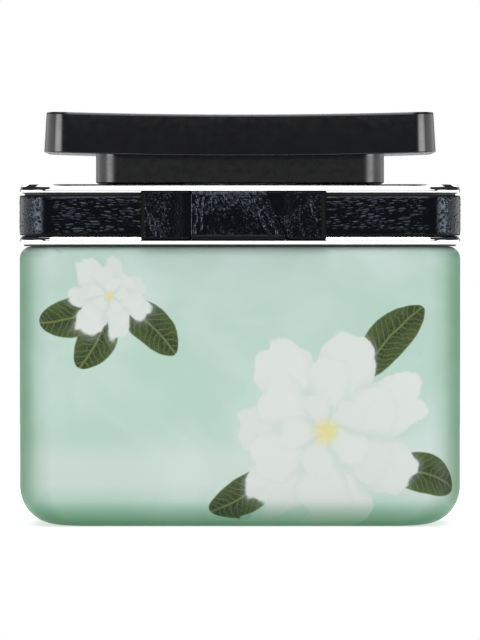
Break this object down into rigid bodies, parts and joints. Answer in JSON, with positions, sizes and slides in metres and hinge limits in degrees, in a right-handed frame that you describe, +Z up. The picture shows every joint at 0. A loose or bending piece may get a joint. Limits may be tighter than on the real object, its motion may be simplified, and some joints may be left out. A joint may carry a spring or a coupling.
{
  "type": "perfume bottle",
  "caption": "Rectangular glass perfume spray bottle with floral print, chrome collar, leather bow and pull-off black cap.",
  "frame": {"origin": "centre of the flat base of the glass, where the bottle stands", "axes": "+X along the width, to the right seen from the front; +Y from the front (bow side) to the back; +Z up"},
  "size_m": [0.0904, 0.0402, 0.0846],
  "materials": {
    "printed_glass": "lacquered pale mint with a printed floral design, satin",
    "chrome": "polished",
    "black_leather": "black pebbled leather with a soft sheen",
    "black_gloss": "gloss",
    "black_plastic": "satin",
    "aluminium": "bright anodised",
    "clear_plastic": "milky natural plastic",
    "grey_rubber": "matte",
    "spring_steel": "bright drawn"
  },
  "bodies": {
    "bottle": {"glass_bottle": "printed_glass", "collar": "chrome", "strap": "black_leather", "bow_loops": "black_leather", "bow_knot": "black_leather", "cap": "black_gloss", "cap_insert": "black_plastic", "ferrule": "aluminium", "neck_gasket": "grey_rubber", "pump_housing": "clear_plastic", "pump_spring": "spring_steel", "valve_ball": "spring_steel", "dip_tube": "clear_plastic"},
    "button": {"spray_button": "aluminium", "nozzle_insert": "clear_plastic", "piston_stem": "clear_plastic"}
  },
  "joints": [
    {"name": "button_press", "type": "slide", "parent": "bottle", "child": "button", "axis": [0, 0, -1], "range_m": [0, 0.0022], "stiffness_N_per_m": 450, "deforming": ["pump_spring"]}
  ]
}
